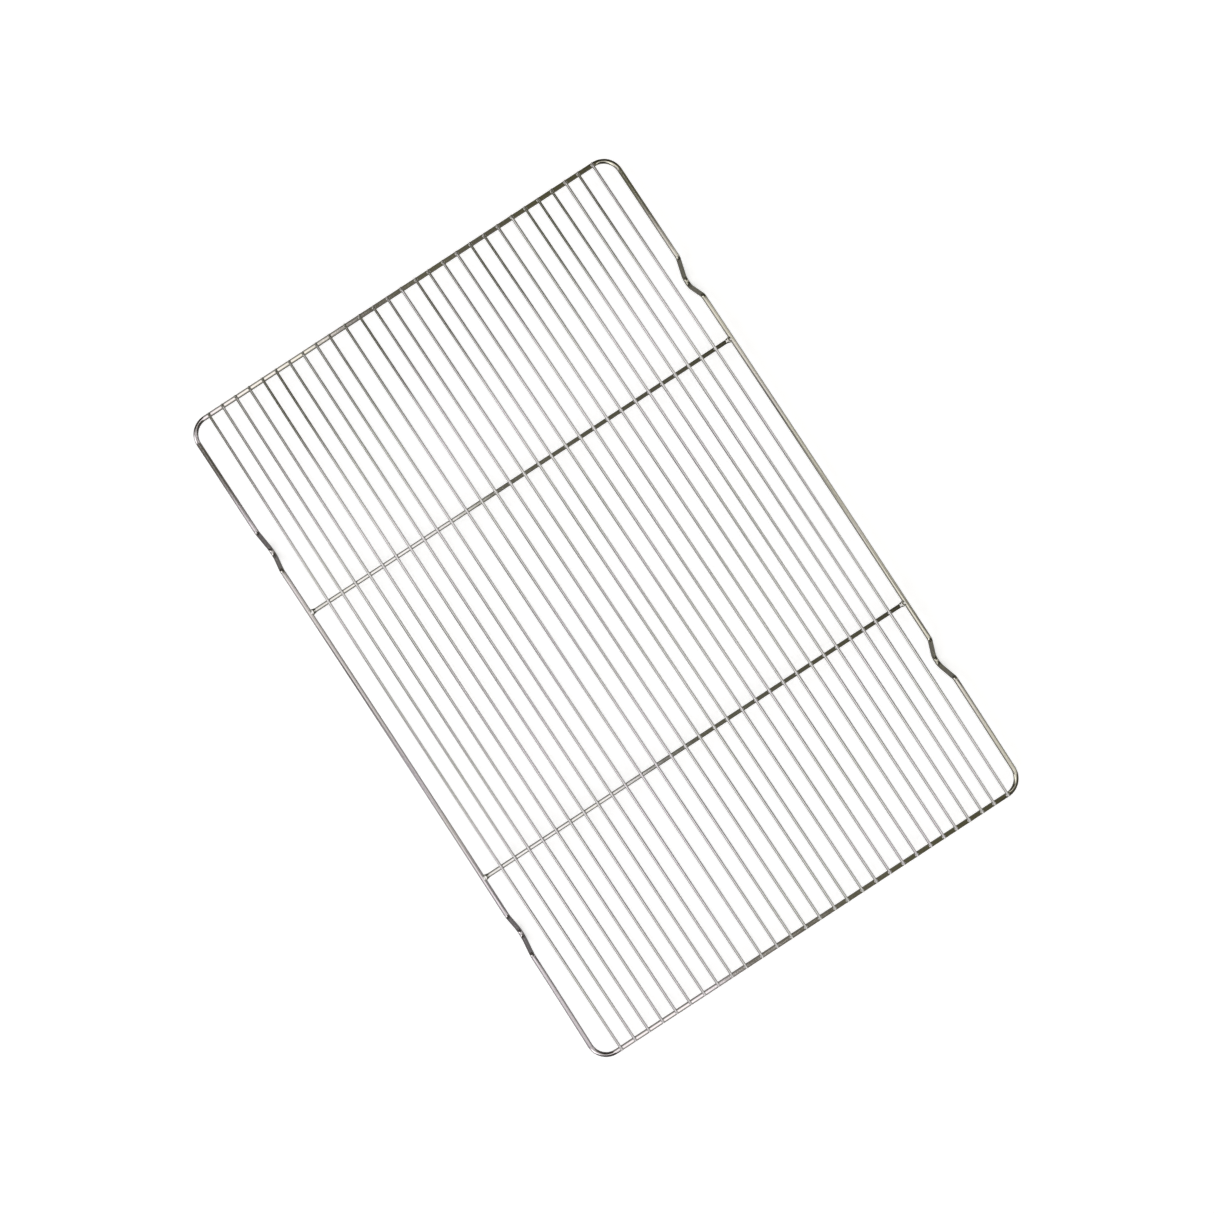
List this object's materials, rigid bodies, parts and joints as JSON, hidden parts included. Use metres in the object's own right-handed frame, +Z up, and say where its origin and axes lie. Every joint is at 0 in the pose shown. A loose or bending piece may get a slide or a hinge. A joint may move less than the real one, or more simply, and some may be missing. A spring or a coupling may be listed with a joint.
{
  "type": "cooling rack",
  "caption": "Oblong wire cooling rack that holds baked goods off the table on a deck of thin parallel wires, with four feet bent from its frame wire.",
  "frame": {"origin": "middle of the bounding box in plan, at the surface that the four toes stand on", "axes": "+Z is up; the grid wires and the rack's length run along Y; the braces and the rack's width run along X"},
  "size_m": [0.418, 0.622, 0.0254],
  "materials": {
    "frame_steel": "bright chrome plate on drawn steel wire",
    "brace_steel": "bright chrome plate on drawn steel wire",
    "grid_steel": "bright chrome plate on thin drawn steel wire"
  },
  "bodies": {
    "root": {"frame_wire": "frame_steel", "front_brace": "brace_steel", "rear_brace": "brace_steel", "grid_wire_01": "grid_steel", "grid_wire_02": "grid_steel", "grid_wire_03": "grid_steel", "grid_wire_04": "grid_steel", "grid_wire_05": "grid_steel", "grid_wire_06": "grid_steel", "grid_wire_07": "grid_steel", "grid_wire_08": "grid_steel", "grid_wire_09": "grid_steel", "grid_wire_10": "grid_steel", "grid_wire_11": "grid_steel", "grid_wire_12": "grid_steel", "grid_wire_13": "grid_steel", "grid_wire_14": "grid_steel", "grid_wire_15": "grid_steel", "grid_wire_16": "grid_steel", "grid_wire_17": "grid_steel", "grid_wire_18": "grid_steel", "grid_wire_19": "grid_steel", "grid_wire_20": "grid_steel", "grid_wire_21": "grid_steel", "grid_wire_22": "grid_steel", "grid_wire_23": "grid_steel", "grid_wire_24": "grid_steel", "grid_wire_25": "grid_steel", "grid_wire_26": "grid_steel", "grid_wire_27": "grid_steel", "grid_wire_28": "grid_steel", "grid_wire_29": "grid_steel"}
  },
  "joints": []
}
